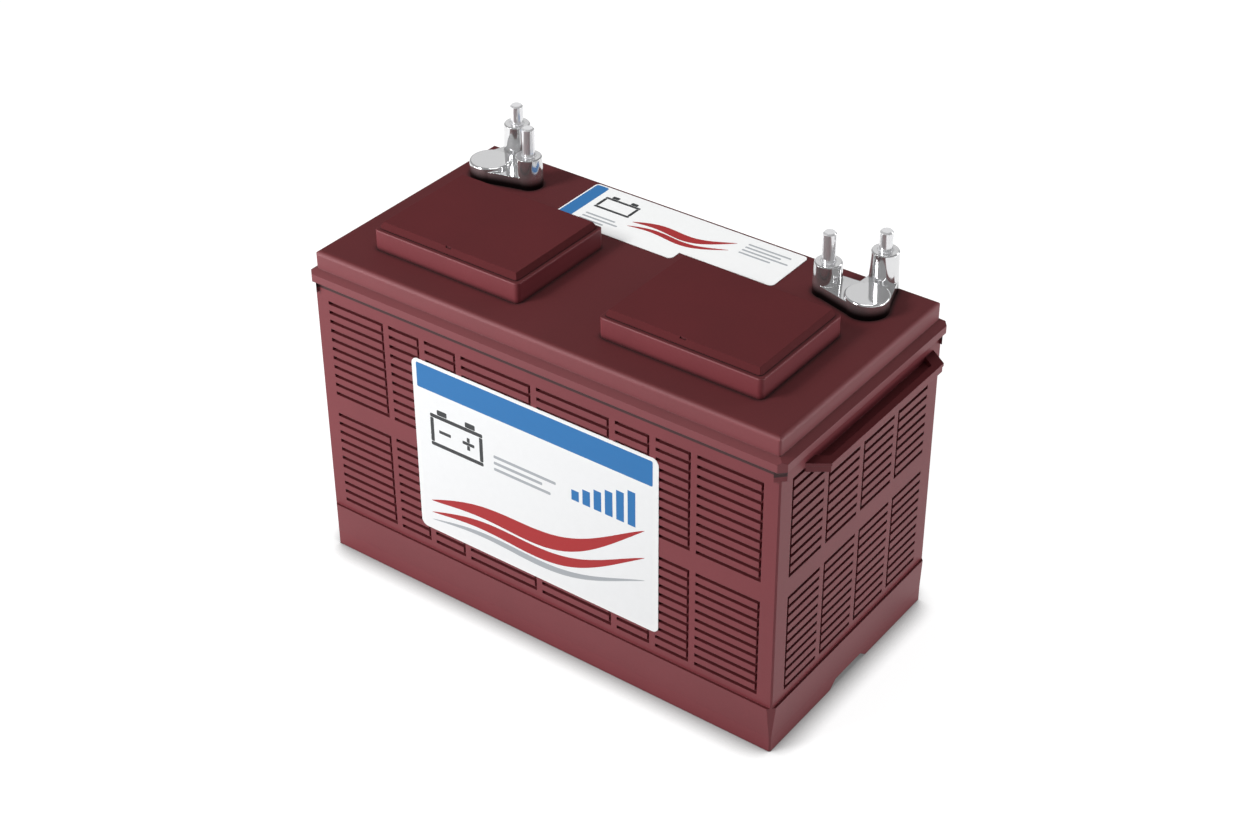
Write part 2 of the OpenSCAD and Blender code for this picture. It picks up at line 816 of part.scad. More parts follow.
module separators(k) {
    second = separator_t + positive_t + 2 * stack_gap;
    color(SHEET)
        for (i = [0 : positive_count - 1], shift = [0, second])
            translate([cell_x(k) - stack_l / 2 + negative_t + stack_gap + i * stack_pitch + shift,
                -sheet_w / 2, plate_z])
                cube([separator_t, sheet_w, plate_h + separator_rise]);
}

// Strap over one cell's lugs. toward is 1 where the tab stands at the cell's right wall, -1 at its left.
module strap(k, side, toward, has_tab) {
    tab_reach = cell_l / 2 - tab_t / 2;
    color(LEAD)
        translate([cell_x(k), side * post_y, strap_z]) {
            translate([0, 0, strap_h / 2]) cube([stack_l, strap_w, strap_h], center = true);
            if (has_tab) {
                translate([toward * tab_reach / 2, 0, strap_h / 2])
                    cube([tab_reach, strap_w, strap_h], center = true);
                translate([toward * tab_reach, 0, tab_h / 2])
                    cube([tab_t, strap_w, tab_h], center = true);
            }
        }
}

module positive_strap(k) {
    strap(k, -negative_side(k), 1, k < CELLS);
}

module negative_strap(k) {
    strap(k, negative_side(k), -1, k > 1);
}

module cell_connectors() {
    color(LEAD)
        for (k = [1 : CELLS - 1])
            translate([cell_x(k) + cell_pitch / 2, -negative_side(k) * post_y, weld_z])
                rotate([0, 90, 0]) cylinder(r = weld_r, h = partition_t, center = true);
}

module front_label() {
    color(LABEL_WHITE)
        translate([-front_label_left, -wall_w / 2 - label_t / 2, front_label_z + front_label_h / 2])
            along_y(label_t) rounded_rect(front_label_w, front_label_h, front_label_r);
}

// The left part of the top label reaches further forward than the right part
module top_label() {
    wide_l = top_label_share * top_label_l;
    wide_w = top_label_w + top_label_step;
    back = crown_w / 2 - top_label_back;
    color(LABEL_WHITE)
        translate([-top_label_left, back - top_label_w / 2, cover_top])
            linear_extrude(label_t) {
                rounded_rect(top_label_l, top_label_w, top_label_r);
                translate([-top_label_l / 2 + wide_l / 2, -top_label_step / 2])
                    rounded_rect(wide_l, wide_w, top_label_r);
            }
}

container();
cover();
front_label();
top_label();
cell_connectors();
for (cap = [["left", -1], ["right", 1]]) {
    vent_block(cap[1]);
    filling_wells(cap[1]);
    cap_lid(cap[1]);
    cap_plug(cap[1]);
    cap_seals(cap[1]);
    cap_arrestors(cap[1]);
    cap_baffles(cap[1]);
}
for (pole = [["negative", negative_x, 1], ["positive", positive_x, -1]]) {
    terminal(pole[1], pole[2]);
    inner_stud(pole[1], pole[2]);
    rear_stud(pole[1], pole[2]);
    bushing(pole[1]);
    post(pole[1]);
}
for (k = [1 : CELLS]) {
    positive_plates(k);
    negative_plates(k);
    separators(k);
    positive_strap(k);
    negative_strap(k);
}
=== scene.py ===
"""Looks of a flooded deep cycle battery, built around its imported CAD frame, in metres."""
import math

import bmesh
import bpy
from mathutils import Matrix, Vector


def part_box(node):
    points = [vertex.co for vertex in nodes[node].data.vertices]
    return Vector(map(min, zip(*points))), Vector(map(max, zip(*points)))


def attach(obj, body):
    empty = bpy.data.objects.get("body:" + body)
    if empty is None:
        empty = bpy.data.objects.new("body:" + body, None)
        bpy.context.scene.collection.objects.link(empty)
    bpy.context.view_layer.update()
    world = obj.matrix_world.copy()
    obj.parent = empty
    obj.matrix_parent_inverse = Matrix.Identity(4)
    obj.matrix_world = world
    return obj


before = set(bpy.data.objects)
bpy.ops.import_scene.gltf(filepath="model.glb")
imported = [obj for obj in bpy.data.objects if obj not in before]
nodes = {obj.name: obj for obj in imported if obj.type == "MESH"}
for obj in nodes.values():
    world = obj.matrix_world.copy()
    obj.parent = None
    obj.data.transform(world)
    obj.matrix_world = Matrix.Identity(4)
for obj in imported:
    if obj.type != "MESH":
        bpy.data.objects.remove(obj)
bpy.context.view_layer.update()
MM = 0.001
ROOT_BODY = "battery"


# Small tools

def linear(code):
    """An sRGB hex colour as linear RGBA."""
    parts = [int(code[i:i + 2], 16) / 255 for i in (1, 3, 5)]
    return [p / 12.92 if p <= 0.04045 else ((p + 0.055) / 1.055) ** 2.4 for p in parts] + [1.0]


def add(tree, kind, inputs=None, **settings):
    """Adds one node, with its settings, and links or values for its inputs."""
    node = tree.nodes.new(kind)
    for name, value in settings.items():
        setattr(node, name, value)
    for key, value in (inputs or {}).items():
        socket = node.inputs[key]
        if isinstance(value, bpy.types.NodeSocket):
            tree.links.new(value, socket)
        else:
            socket.default_value = value
    return node


def new_material(name):
    """An empty node material with its output, as (material, tree, output)."""
    material = bpy.data.materials.new(name)
    material.use_nodes = True
    tree = material.node_tree
    tree.nodes.clear()
    return material, tree, add(tree, "ShaderNodeOutputMaterial")


def link(obj):
    """Puts a new object in the scene."""
    bpy.context.scene.collection.objects.link(obj)
    return obj


def per_metre(millimetres):
    """Texture scale whose features are about this many millimetres across."""
    return 1.0 / (millimetres * MM)


# Moulded plastic

BODY_COLOUR = "#78343a"
# Up-facing faces take a darker colour than the body colour: painted shade on the tops
SHADED_TOP_COLOUR = "#531419"
PLASTIC_IOR = 1.49
FLOW_MM = 38
SPECK_MM = 1.6
FLOW_SHARE = 0.7
SPECK_SHARE = 0.3
MOTTLE_FROM = (0.32, 0.68)
MOTTLE_TO = (0.94, 1.06)
# Painted shade: the colour darkens deep in recesses, where ambient occlusion finds nearby surfaces
RECESS_MM = 4.0
RECESS_SHELTER = (0.50, 0.90)
TOP_ROUGHNESS = 0.80
GRAIN_ROUGHNESS = 0.12
# A band of painted shadow under the cover's rim, along the seam with the container
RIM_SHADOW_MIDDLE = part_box("container")[1].z - 1.3 * MM
RIM_SHADOW_HALF = 2.2 * MM
RIM_SHADOW_FADE = 0.3 * MM
RIM_SHADOW_TONE = 0.22


def moulded_plastic(name, roughness, specular, grain_mm, grain_depth, edge_mm, top_slopes, recess_shade_tone):
    """Injection-moulded polypropylene: an even body colour with faint flow mottling, a fine eroded grain
    from the mould that breaks up the gloss, edges that are slightly rounded and so catch a thin line of
    light, and painted shade that darkens the colour deep in narrow recesses, where little light comes in.
    Faces that look up are rougher than the upright ones, so duller, and their colour is painted darker, as
    painted shade, from one slope to another. A thin band of painted shadow lies under the cover's rim,
    along the seam where the cover is welded to the container."""
    material, tree, output = new_material(name)
    place = add(tree, "ShaderNodeTexCoord").outputs["Object"]
    flow = add(tree, "ShaderNodeTexNoise", {"Vector": place, "Scale": per_metre(FLOW_MM), "Detail": 4.0})
    speck = add(tree, "ShaderNodeTexNoise", {"Vector": place, "Scale": per_metre(SPECK_MM), "Detail": 2.0})
    mixed = add(tree, "ShaderNodeMath", {0: flow.outputs["Fac"], 1: FLOW_SHARE}, operation="MULTIPLY")
    mixed = add(tree, "ShaderNodeMath", {0: speck.outputs["Fac"], 1: SPECK_SHARE, 2: mixed.outputs[0]},
                operation="MULTIPLY_ADD")
    mottle = add(tree, "ShaderNodeMapRange", {
        "Value": mixed.outputs[0], "From Min": MOTTLE_FROM[0], "From Max": MOTTLE_FROM[1],
        "To Min": MOTTLE_TO[0], "To Max": MOTTLE_TO[1]})
    # Painted shade in recesses and creases: ambient occlusion multiplied into the colour
    shelter = add(tree, "ShaderNodeAmbientOcclusion", {"Distance": RECESS_MM * MM}, samples=8)
    painted_occlusion_shade = add(tree, "ShaderNodeMapRange", {
        "Value": shelter.outputs["AO"], "From Min": RECESS_SHELTER[0], "From Max": RECESS_SHELTER[1],
        "To Min": recess_shade_tone, "To Max": 1.0})
    height = add(tree, "ShaderNodeSeparateXYZ", {0: place}).outputs["Z"]
    # Painted shadow: a thin dark band just under the cover's rim
    from_rim_shadow = add(tree, "ShaderNodeMath", {0: height, 1: RIM_SHADOW_MIDDLE}, operation="SUBTRACT")
    from_rim_shadow = add(tree, "ShaderNodeMath", {0: from_rim_shadow.outputs[0]}, operation="ABSOLUTE")
    rim_shadow = add(tree, "ShaderNodeMapRange", {
        "Value": from_rim_shadow.outputs[0], "From Min": RIM_SHADOW_HALF - RIM_SHADOW_FADE, "From Max": RIM_SHADOW_HALF,
        "To Min": RIM_SHADOW_TONE, "To Max": 1.0})
    normal = add(tree, "ShaderNodeNewGeometry").outputs["True Normal"]
    facing = add(tree, "ShaderNodeSeparateXYZ", {0: normal})
    upward = add(tree, "ShaderNodeMapRange", {
        "Value": facing.outputs["Z"], "From Min": top_slopes[0], "From Max": top_slopes[1]})
    # Faces that look up take the darker top colour, a painted shade
    base = add(tree, "ShaderNodeMix", {
        "Factor": upward.outputs["Result"], "A": linear(BODY_COLOUR), "B": linear(SHADED_TOP_COLOUR)},
        data_type="RGBA")
    tone = add(tree, "ShaderNodeMath", {0: painted_occlusion_shade.outputs["Result"], 1: rim_shadow.outputs["Result"]},
               operation="MULTIPLY")
    level = add(tree, "ShaderNodeMath", {0: tone.outputs[0], 1: mottle.outputs["Result"]},
                operation="MULTIPLY")
    shade = add(tree, "ShaderNodeVectorMath", {0: base.outputs["Result"], "Scale": level.outputs[0]},
                operation="SCALE")
    grain = add(tree, "ShaderNodeTexNoise", {
        "Vector": place, "Scale": per_metre(grain_mm), "Detail": 2.0})
    dull = add(tree, "ShaderNodeMapRange", {
        "Value": upward.outputs["Result"], "To Min": roughness - GRAIN_ROUGHNESS / 2,
        "To Max": TOP_ROUGHNESS})
    rough = add(tree, "ShaderNodeMath", {
        0: grain.outputs["Fac"], 1: GRAIN_ROUGHNESS, 2: dull.outputs["Result"]},
        operation="MULTIPLY_ADD")
    edge = add(tree, "ShaderNodeBevel", {"Radius": edge_mm * MM}, samples=4)
    bump = add(tree, "ShaderNodeBump", {
        "Height": grain.outputs["Fac"], "Distance": grain_depth * MM, "Strength": 1.0,
        "Normal": edge.outputs["Normal"]})
    shader = add(tree, "ShaderNodeBsdfPrincipled", {
        "Base Color": shade.outputs["Vector"], "Roughness": rough.outputs[0],
        "Specular IOR Level": specular, "IOR": PLASTIC_IOR, "Normal": bump.outputs["Normal"]})
    tree.links.new(shader.outputs[0], output.inputs["Surface"])
    return material


# Container and cap plugs: a coarse mould grain with a soft sheen, and shallow slots that stay warm inside,
# with only faint painted shade
container_plastic = moulded_plastic(
    "moulded_polypropylene_container", roughness=0.46, specular=0.34, grain_mm=0.55, grain_depth=0.010,
    edge_mm=0.55, top_slopes=(0.40, 0.90), recess_shade_tone=0.95)
# Cover, vent blocks and wells: a finer grain, and strong painted shade in the creases where the blocks rise
# from the flat top
cover_plastic = moulded_plastic(
    "moulded_polypropylene_cover", roughness=0.46, specular=0.46, grain_mm=0.45, grain_depth=0.008,
    edge_mm=0.60, top_slopes=(0.45, 0.95), recess_shade_tone=0.25)
# Vent cap lids: dull all round, so that they show hardly any sheen, and painted dark on their sides as well
# as their tops, as painted shade
lid_plastic = moulded_plastic(
    "moulded_polypropylene_lid", roughness=0.55, specular=0.34, grain_mm=0.45, grain_depth=0.008,
    edge_mm=0.40, top_slopes=(-0.60, 0.30), recess_shade_tone=0.50)


# Bright metal

HAZE_MM = 2.2
NOISE_MIDDLE = (0.3, 0.7)
HAZE_SPREAD = (0.7, 1.3)
FOOT_SHADE_TONE = 0.02
FOOT_DARK_SHARE = 0.25


def bright_metal(name, colour, shine, roughness, ripple_mm, ripple_depth, edge_mm, foot_z=0.0, foot_h=0.0):
    """Bright metal with a pale bloom of oxide over its shine: it mirrors what stands around it, slightly
    uneven where it was cast or drawn, with small rounded edges. A casting's colour goes near black around
    its foot, as painted shade."""
    material, tree, output = new_material(name)
    place = add(tree, "ShaderNodeTexCoord").outputs["Object"]
    ripple = add(tree, "ShaderNodeTexNoise", {
        "Vector": place, "Scale": per_metre(ripple_mm), "Detail": 2.0})
    haze = add(tree, "ShaderNodeTexNoise", {"Vector": place, "Scale": per_metre(HAZE_MM), "Detail": 5.0})
    rough = add(tree, "ShaderNodeMapRange", {
        "Value": haze.outputs["Fac"], "From Min": NOISE_MIDDLE[0], "From Max": NOISE_MIDDLE[1],
        "To Min": roughness * HAZE_SPREAD[0], "To Max": roughness * HAZE_SPREAD[1]})
    edge = add(tree, "ShaderNodeBevel", {"Radius": edge_mm * MM}, samples=4)
    bump = add(tree, "ShaderNodeBump", {
        "Height": ripple.outputs["Fac"], "Distance": ripple_depth * MM, "Strength": 1.0,
        "Normal": edge.outputs["Normal"]})
    shader = add(tree, "ShaderNodeBsdfPrincipled", {
        "Base Color": linear(colour), "Metallic": shine, "Roughness": rough.outputs["Result"],
        "Normal": bump.outputs["Normal"]})
    # Painted shade: the casting's colour goes near black towards its foot
    if foot_h > 0:
        height = add(tree, "ShaderNodeSeparateXYZ", {0: place}).outputs["Z"]
        foot_shade_level = add(tree, "ShaderNodeMapRange", {
            "Value": height, "From Min": foot_z + foot_h * FOOT_DARK_SHARE, "From Max": foot_z + foot_h,
            "To Min": FOOT_SHADE_TONE, "To Max": 1.0}, interpolation_type="SMOOTHSTEP")
        foot_shaded = add(tree, "ShaderNodeVectorMath", {
            0: linear(colour)[:3], "Scale": foot_shade_level.outputs["Result"]}, operation="SCALE")
        tree.links.new(foot_shaded.outputs["Vector"], shader.inputs["Base Color"])
    tree.links.new(shader.outputs[0], output.inputs["Surface"])
    return material


# Terminals: a smooth tinned casting that mirrors its surroundings, with painted shade darkening its foot
terminal_metal = bright_metal(
    "tinned_casting", "#dededf", shine=0.88, roughness=0.09, ripple_mm=3.0, ripple_depth=0.006, edge_mm=0.5,
    foot_z=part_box("negative_terminal")[0].z, foot_h=9 * MM)
# Studs: drawn stainless steel, paler than the casting and softer in its reflections
stud_metal = bright_metal(
    "stainless_stud", "#ececee", shine=0.68, roughness=0.12, ripple_mm=1.2, ripple_depth=0.003, edge_mm=0.3)


# Matt solids, films and inks

CLOUD_GRAINS = 8


def dull_solid(name, colour, roughness, grain_mm, grain_depth, metallic=0.0, contrast=0.25):
    """A matt, slightly crumbly solid such as cast lead, pressed paste, sheet or rubber: cloudy tone and a
    rough skin."""
    material, tree, output = new_material(name)
    place = add(tree, "ShaderNodeTexCoord").outputs["Object"]
    cloud = add(tree, "ShaderNodeTexNoise", {
        "Vector": place, "Scale": per_metre(grain_mm * CLOUD_GRAINS), "Detail": 5.0})
    grain = add(tree, "ShaderNodeTexNoise", {
        "Vector": place, "Scale": per_metre(grain_mm), "Detail": 3.0})
    base = linear(colour)
    dark = [c * (1 - contrast) for c in base[:3]] + [1.0]
    light = [min(1.0, c * (1 + contrast)) for c in base[:3]] + [1.0]
    tone = add(tree, "ShaderNodeMapRange", {
        "Value": cloud.outputs["Fac"], "From Min": NOISE_MIDDLE[0], "From Max": NOISE_MIDDLE[1]})
    shade = add(tree, "ShaderNodeMix", {"Factor": tone.outputs["Result"], "A": dark, "B": light},
                data_type="RGBA")
    bump = add(tree, "ShaderNodeBump", {
        "Height": grain.outputs["Fac"], "Distance": grain_depth * MM, "Strength": 1.0})
    shader = add(tree, "ShaderNodeBsdfPrincipled", {
        "Base Color": shade.outputs["Result"], "Metallic": metallic, "Roughness": roughness,
        "Normal": bump.outputs["Normal"]})
    tree.links.new(shader.outputs[0], output.inputs["Surface"])
    return material


def printed_film(name, colour, roughness):
    """Plastic film, or ink printed under it: an even colour, faintly uneven, with the film's soft gloss."""
    return dull_solid(name, colour, roughness, grain_mm=0.5, grain_depth=0.001, contrast=0.008)


# Straps, posts, bushings and connectors: grey cast lead with a cloudy, half-dull skin
cast_lead = dull_solid(
    "cast_lead", "#868b92", roughness=0.55, grain_mm=0.8, grain_depth=0.05, metallic=0.8)
# Positive plates: brown pressed paste, quite matt
positive_paste = dull_solid(
    "lead_dioxide_paste", "#54402f", roughness=0.9, grain_mm=0.6, grain_depth=0.08)
# Negative plates: grey pressed paste, a little smoother
negative_paste = dull_solid(
    "sponge_lead_paste", "#72767c", roughness=0.85, grain_mm=0.6, grain_depth=0.08)
# Separators and splash baffles: dark, even, finely porous sheet
separator_sheet = dull_solid(
    "microporous_sheet", "#363638", roughness=0.8, grain_mm=0.4, grain_depth=0.02, contrast=0.12)
# Bung seals: black rubber with a slight shine
seal_rubber = dull_solid(
    "nitrile_rubber", "#1a1a1a", roughness=0.6, grain_mm=0.3, grain_depth=0.01, contrast=0.15)
# Flame arrestors: pale beads of plastic baked together, grainy and matt
sintered_disc = dull_solid(
    "sintered_plastic", "#eceeee", roughness=0.85, grain_mm=0.35, grain_depth=0.04, contrast=0.06)
# Labels: white film, and inks that are a little duller
FILM_ROUGHNESS = 0.42
INK_ROUGHNESS = 0.45
front_film = printed_film("front_film", "#f4f5f5", FILM_ROUGHNESS)
top_film = printed_film("top_film", "#f8f9f9", FILM_ROUGHNESS)
blue_ink = printed_film("blue_ink", "#186eae", INK_ROUGHNESS)
red_ink = printed_film("red_ink", "#a40e14", INK_ROUGHNESS)
charcoal_ink = printed_film("charcoal_ink", "#26282b", INK_ROUGHNESS)
grey_ink = printed_film("grey_ink", "#a9adb2", INK_ROUGHNESS)
pale_ink = printed_film("pale_ink", "#f2f3f4", INK_ROUGHNESS)


# Materials of the CAD nodes, by the end or the start of a node's name

BY_ENDING = {
    "container": container_plastic, "_cap_plug": container_plastic,
    "cover": cover_plastic, "_vent_block": cover_plastic, "_filling_wells": cover_plastic,
    "_cap_lid": lid_plastic,
    "front_label": front_film, "top_label": top_film,
    "_terminal": terminal_metal, "_stud": stud_metal,
    "baffles": separator_sheet, "seals": seal_rubber, "arrestors": sintered_disc,
}
BY_START = {
    "positive_plates": positive_paste, "negative_plates": negative_paste, "separators": separator_sheet,
}


def node_material(name):
    """The material for a CAD node. What is named in neither table is cast lead."""
    for ending, material in BY_ENDING.items():
        if name.endswith(ending):
            return material
    for start, material in BY_START.items():
        if name.startswith(start):
            return material
    return cast_lead


for name, node in nodes.items():
    node.data.materials.clear()
    node.data.materials.append(node_material(name))


# Printed labels, a generic design

# Each ink is a thin closed layer on the film. Every place is in millimetres from the label's lower left
# corner. A bar is left, foot, right, top and corner radius. A line is its foot and length. A wave is start,
# end, height, rise, swing, turns and thickness.
INK_T = 0.03 * MM
CORNER_STEPS = 6
WAVE_STEPS = 60
WAVE_TIP = 0.12
WAVE_FULLNESS = 0.8

FRONT_FIELD = (3.3, 3.4, 174.6, 101.6, 2.6)
FRONT_BAND = (3.3, 103.5, 174.6, 120.8, 1.0)
FRONT_SYMBOL = (
    (12, 65, 52, 67.6, 0.8), (12, 85.4, 52, 88, 0.8),
    (12, 67.9, 14.6, 85.1, 0.8), (49.4, 67.9, 52, 85.1, 0.8),
    (17.5, 88.3, 25, 92, 0.8), (39, 88.3, 46.5, 92, 0.8),
    (18.5, 75.5, 27.5, 77.7, 0.4), (36.5, 75.5, 45.5, 77.7, 0.4),
    (39.9, 72.1, 42.1, 75.3, 0.4), (39.9, 77.9, 42.1, 81.1, 0.4))
FRONT_LINES = ((66, 42), (70.5, 36), (75, 46))
FRONT_LINE_START = 60
FRONT_LINE_T = 2.0
FRONT_LINE_R = 0.6
FRONT_RED_WAVES = ((9, 169, 22, 44, 5.5, 1.15, 11), (9, 169, 13, 34, 5.0, 1.15, 7.5))
FRONT_GREY_WAVE = (9, 169, 7.5, 24, 4.0, 1.15, 4.0)
FRONT_BARS_PLACE = (120, 70)
FRONT_BARS = {
    "Count": 6, "Pitch": 8.0 * MM, "Bar Width": 5.4 * MM, "Bar Height": 24 * MM,
    "Ink Thickness": INK_T, "Lowest Share": 0.3, "Ink": blue_ink}

TOP_END = (1.0, 1.2, 10.4, 47.2, 2.0)
TOP_SYMBOL = (
    (15, 36, 41, 38, 0.6), (15, 24, 41, 26, 0.6), (15, 26.2, 17, 35.8, 0.6), (39, 26.2, 41, 35.8, 0.6),
    (18.5, 38.2, 23.5, 41, 0.6), (32.5, 38.2, 37.5, 41, 0.6))
TOP_WAVES = ((46, 112, 22, 14, 3.0, 1.1, 6.5), (46, 112, 16.5, 10, 2.6, 1.1, 4.0))
TOP_BACK_LINES = ((40, 30), (36.4, 25), (32.8, 32), (29.2, 22))
TOP_BACK_LINE_START = 118
TOP_FRONT_LINES = ((14.5, 22), (10.9, 26), (7.3, 18))
TOP_FRONT_LINE_START = 16
TOP_LINE_T = 1.5
TOP_LINE_R = 0.5


def front_place(u, v, lift):
    """A point of the front label, as seen from the front."""
    low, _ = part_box("front_label")
    return low.x + u * MM, low.y - lift, low.z + v * MM


def top_place(u, v, lift):
    """A point of the top label, as seen from above."""
    low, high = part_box("top_label")
    return low.x + u * MM, low.y + v * MM, high.z + lift


def bar(u0, v0, u1, v1, r):
    """Outline of a bar with rounded corners."""
    points = []
    corners = ((u1 - r, v1 - r, 0), (u0 + r, v1 - r, 90), (u0 + r, v0 + r, 180), (u1 - r, v0 + r, 270))
    for u, v, start in corners:
        for i in range(CORNER_STEPS + 1):
            a = math.radians(start + 90 * i / CORNER_STEPS)
            points.append((u + r * math.cos(a), v + r * math.sin(a)))
    return points


def lines(rows, start, thick, r):
    """Outlines of plain lines that begin at the same place."""
    return [bar(start, v, start + length, v + thick, r) for v, length in rows]


def wave(u0, u1, v0, rise, swing, turns, thick):
    """Outline of a wave that climbs by rise and swings up and down, thin at both ends."""
    upper, lower = [], []
    for i in range(WAVE_STEPS + 1):
        s = i / WAVE_STEPS
        u = u0 + (u1 - u0) * s
        v = v0 + rise * s * s + swing * math.sin(2 * math.pi * turns * s)
        half = WAVE_TIP + thick / 2 * math.sin(math.pi * s) ** WAVE_FULLNESS
        upper.append((u, v + half))
        lower.append((u, v - half))
    return lower + upper[::-1]


def print_layer(name, outlines, place, ink, base=0.0):
    """One ink as a thin closed layer over its outlines."""
    shape = bmesh.new()
    for outline in outlines:
        lower = [shape.verts.new(place(u, v, base)) for u, v in outline]
        upper = [shape.verts.new(place(u, v, base + INK_T)) for u, v in outline]
        shape.faces.new(upper)
        shape.faces.new(lower[::-1])
        for i in range(len(outline)):
            j = (i + 1) % len(outline)
            shape.faces.new((lower[i], lower[j], upper[j], upper[i]))
    bmesh.ops.recalc_face_normals(shape, faces=shape.faces)
    bmesh.ops.triangulate(shape, faces=[f for f in shape.faces if len(f.verts) > 4])
    mesh = bpy.data.meshes.new(name)
    shape.to_mesh(mesh)
    shape.free()
    mesh.materials.append(ink)
    piece = link(bpy.data.objects.new(name, mesh))
    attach(piece, ROOT_BODY)


def level_bars_tree():
    """Geometry Nodes tree for a row of upright bars that grow from left to right."""
    tree = bpy.data.node_groups.new("level_bars", "GeometryNodeTree")
    face = tree.interface
    face.new_socket("Geometry", in_out="OUTPUT", socket_type="NodeSocketGeometry")
    sockets = (
        ("Count", "NodeSocketInt"), ("Pitch", "NodeSocketFloat"), ("Bar Width", "NodeSocketFloat"),
        ("Bar Height", "NodeSocketFloat"), ("Ink Thickness", "NodeSocketFloat"),
        ("Lowest Share", "NodeSocketFloat"), ("Ink", "NodeSocketMaterial"))
    for title, kind in sockets:
        face.new_socket(title, in_out="INPUT", socket_type=kind)
    given = add(tree, "NodeGroupInput").outputs
    size = add(tree, "ShaderNodeCombineXYZ", {
        0: given["Bar Width"], 1: given["Ink Thickness"], 2: given["Bar Height"]})
    block = add(tree, "GeometryNodeMeshCube", {"Size": size.outputs[0]})
    half = add(tree, "ShaderNodeMath", {0: given["Bar Height"], 1: 0.5}, operation="MULTIPLY")
    lift = add(tree, "ShaderNodeCombineXYZ", {2: half.outputs[0]})
    standing = add(tree, "GeometryNodeTransform", {
        "Geometry": block.outputs["Mesh"], "Translation": lift.outputs[0]})
    step = add(tree, "ShaderNodeCombineXYZ", {0: given["Pitch"]})
    row = add(tree, "GeometryNodeMeshLine", {"Count": given["Count"], "Offset": step.outputs[0]},
              mode="OFFSET")
    last = add(tree, "ShaderNodeMath", {0: given["Count"], 1: 1.0}, operation="SUBTRACT")
    order = add(tree, "GeometryNodeInputIndex")
    grow = add(tree, "ShaderNodeMapRange", {
        "Value": order.outputs[0], "From Max": last.outputs[0],
        "To Min": given["Lowest Share"], "To Max": 1.0})
    stretch = add(tree, "ShaderNodeCombineXYZ", {0: 1.0, 1: 1.0, 2: grow.outputs[0]})
    bars = add(tree, "GeometryNodeInstanceOnPoints", {
        "Points": row.outputs["Mesh"], "Instance": standing.outputs["Geometry"],
        "Scale": stretch.outputs[0]})
    real = add(tree, "GeometryNodeRealizeInstances", {"Geometry": bars.outputs["Instances"]})
    inked = add(tree, "GeometryNodeSetMaterial", {
        "Geometry": real.outputs["Geometry"], "Material": given["Ink"]})
    add(tree, "NodeGroupOutput", {"Geometry": inked.outputs["Geometry"]})
    return tree


def grow_piece(name, tree, values, placed):
    """Runs a Geometry Nodes tree once and keeps its result as a plain mesh, put in place."""
    maker = link(bpy.data.objects.new(name + "_maker", bpy.data.meshes.new(name + "_maker")))
    modifier = maker.modifiers.new("grow", "NODES")
    modifier.node_group = tree
    for item in tree.interface.items_tree:
        if item.in_out == "INPUT" and item.name in values:
            modifier[item.identifier] = values[item.name]
    evaluated = maker.evaluated_get(bpy.context.evaluated_depsgraph_get())
    mesh = bpy.data.meshes.new_from_object(evaluated)
    mesh.name = name
    maker.modifiers.clear()
    bpy.data.objects.remove(maker)
    mesh.transform(placed)
    return link(bpy.data.objects.new(name, mesh))


def print_front():
    """The front label: a blue band, a cell symbol with level bars, lines and three waves."""
    print_layer("front_field", [bar(*FRONT_FIELD)], front_place, pale_ink)
    print_layer("front_band", [bar(*FRONT_BAND)], front_place, blue_ink)
    print_layer("front_symbol", [bar(*b) for b in FRONT_SYMBOL], front_place, charcoal_ink, INK_T)
    print_layer("front_lines", lines(FRONT_LINES, FRONT_LINE_START, FRONT_LINE_T, FRONT_LINE_R),
                front_place, grey_ink, INK_T)
    print_layer("front_waves", [wave(*w) for w in FRONT_RED_WAVES], front_place, red_ink, INK_T)
    print_layer("front_wave_grey", [wave(*FRONT_GREY_WAVE)], front_place, grey_ink, INK_T)
    placed = Matrix.Translation(front_place(*FRONT_BARS_PLACE, 1.5 * INK_T))
    bars = grow_piece("front_bars", level_bars_tree(), FRONT_BARS, placed)
    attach(bars, ROOT_BODY)


def print_top():
    """The top label: a blue end, a cell symbol, waves and lines."""
    print_layer("top_end", [bar(*TOP_END)], top_place, blue_ink)
    print_layer("top_symbol", [bar(*b) for b in TOP_SYMBOL], top_place, charcoal_ink)
    print_layer("top_waves", [wave(*w) for w in TOP_WAVES], top_place, red_ink)
    print_layer("top_lines", lines(TOP_BACK_LINES, TOP_BACK_LINE_START, TOP_LINE_T, TOP_LINE_R),
                top_place, grey_ink)
    print_layer("top_front_lines", lines(TOP_FRONT_LINES, TOP_FRONT_LINE_START, TOP_LINE_T, TOP_LINE_R),
                top_place, grey_ink)


print_front()
print_top()


# Stage

FLOOR_HALF = 6.0
FLOOR_DROP = 0.0003
FLOOR_COLOUR = "#848484"
FLOOR_SHADE_REACH = 0.024
FLOOR_SHELTER = (0.45, 0.86)
FLOOR_GLOW = (0.12, 0.90)
SKY_HEIGHT = (0.10, 0.95)
SKY_LEVEL = (0.36, 0.26)
WHITE = "#ffffff"

# Name, place, target, width, height and watts of each soft panel
LAMPS = (
    ("key_panel", (-0.70, -1.20, 1.30), (0, 0, 0.12), 0.5, 0.5, 22),
    ("front_panel", (-0.75, -0.85, 0.22), (-0.10, -0.08, 0.16), 0.8, 0.4, 5),
    ("end_panel", (1.15, 0.35, 0.06), (0.17, 0, 0.10), 0.5, 0.3, 5.5),
    ("back_right_panel", (1.10, 1.40, 0.80), (0, 0, 0.12), 0.9, 0.6, 5),
    ("top_panel", (0.10, 0.10, 1.70), (0, 0, 0.20), 0.7, 0.7, 6),
    ("back_left_panel", (-1.05, 1.45, 1.25), (0, 0, 0.23), 0.9, 0.6, 0.8),
)


